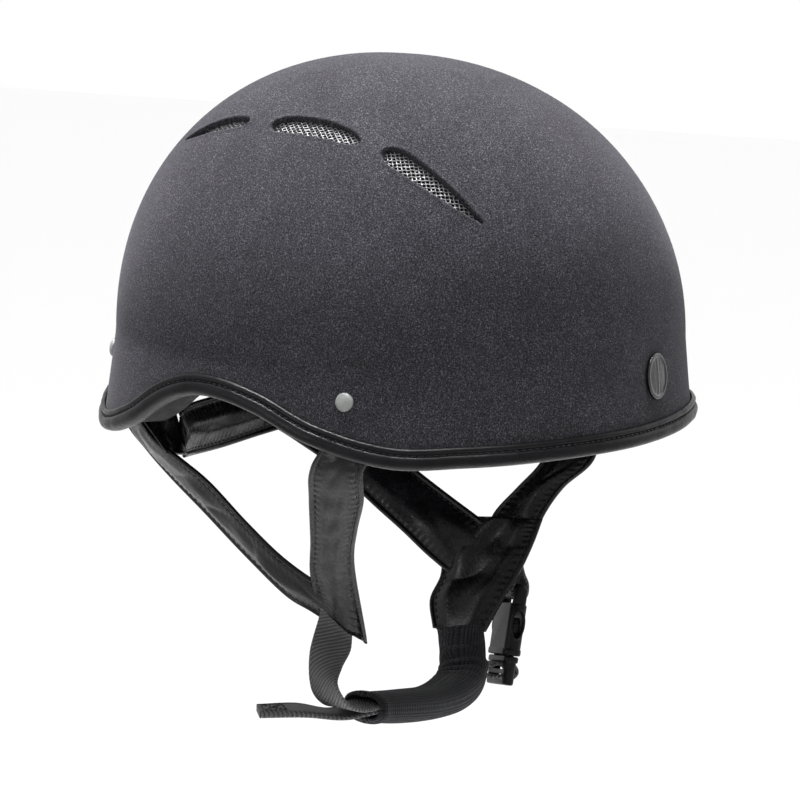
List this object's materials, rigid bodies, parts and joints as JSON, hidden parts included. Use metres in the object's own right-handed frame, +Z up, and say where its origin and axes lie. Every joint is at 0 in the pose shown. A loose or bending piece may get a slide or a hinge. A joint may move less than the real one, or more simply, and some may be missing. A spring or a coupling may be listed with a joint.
{
  "type": "equestrian riding helmet",
  "caption": "Flock-covered skull-cap riding helmet with crown vents, foam liner and pads, padded harness, knitted chin sleeve and side-release buckle.",
  "frame": {"origin": "the middle of the helmet at its widest level, on the plane of left and right symmetry of the shell, where the crown of the wearer's head fills the shell", "axes": "+Z up through the crown, -Y towards the wearer's face, +X towards the wearer's left ear"},
  "size_m": [0.2334, 0.2658, 0.3001],
  "materials": {
    "flock": "matte flocked velvet, charcoal",
    "foam": "matte moulded bead foam, black",
    "trim": "satin grained synthetic leather",
    "harness": "satin padded synthetic leather",
    "lining": "matte brushed mesh fabric",
    "knit": "matte rib knit",
    "webbing": "satin woven nylon",
    "buckle": "satin moulded acetal",
    "rivet": "satin paint, mid grey",
    "wire_mesh": "satin woven wire",
    "badge": "gloss moulded badge"
  },
  "bodies": {
    "helmet": {"outer_shell": "flock", "impact_liner": "foam", "rim_trim": "trim", "vent_mesh_right_front": "wire_mesh", "vent_mesh_right_middle": "wire_mesh", "vent_mesh_right_rear": "wire_mesh", "vent_mesh_left_front": "wire_mesh", "vent_mesh_left_middle": "wire_mesh", "vent_mesh_left_rear": "wire_mesh", "rivet_right_front": "rivet", "rivet_right_rear": "rivet", "rivet_left_front": "rivet", "rivet_left_rear": "rivet", "rivet_washer_right_front": "rivet", "rivet_washer_right_rear": "rivet", "rivet_washer_left_front": "rivet", "rivet_washer_left_rear": "rivet", "harness_right_front": "harness", "harness_left_front": "harness", "harness_right_rear": "harness", "harness_left_rear": "harness", "buckle_guard": "harness", "nape_pad": "harness", "brow_pad": "lining", "side_pad_left": "lining", "side_pad_right": "lining", "rear_pad": "lining", "crown_pad": "lining", "front_badge": "badge", "buckle_socket": "buckle", "socket_webbing": "webbing"},
    "chin_strap": {"chin_sleeve": "knit", "chin_webbing": "webbing", "strap_tail": "webbing", "buckle_plug": "buckle", "plug_webbing": "webbing"},
    "prong_front": {"buckle_prong_front": "buckle"},
    "prong_rear": {"buckle_prong_rear": "buckle"}
  },
  "joints": [
    {"name": "chin_strap_swing", "type": "hinge", "parent": "helmet", "child": "chin_strap", "pos_m": [-0.06, -0.008, -0.123], "axis": [0.0805, 0.9964, -0.0247], "range_deg": [0, 62]},
    {"name": "prong_front_flex", "type": "hinge", "parent": "chin_strap", "child": "prong_front", "pos_m": [0.06302, -0.02634, -0.15931], "axis": [-0.691, 0.691, 0.2125], "range_deg": [0, 8], "stiffness_Nm_per_rad": 0.5},
    {"name": "prong_rear_flex", "type": "hinge", "parent": "chin_strap", "child": "prong_rear", "pos_m": [0.07571, -0.01246, -0.16321], "axis": [0.691, -0.691, -0.2125], "range_deg": [0, 8], "stiffness_Nm_per_rad": 0.5}
  ]
}
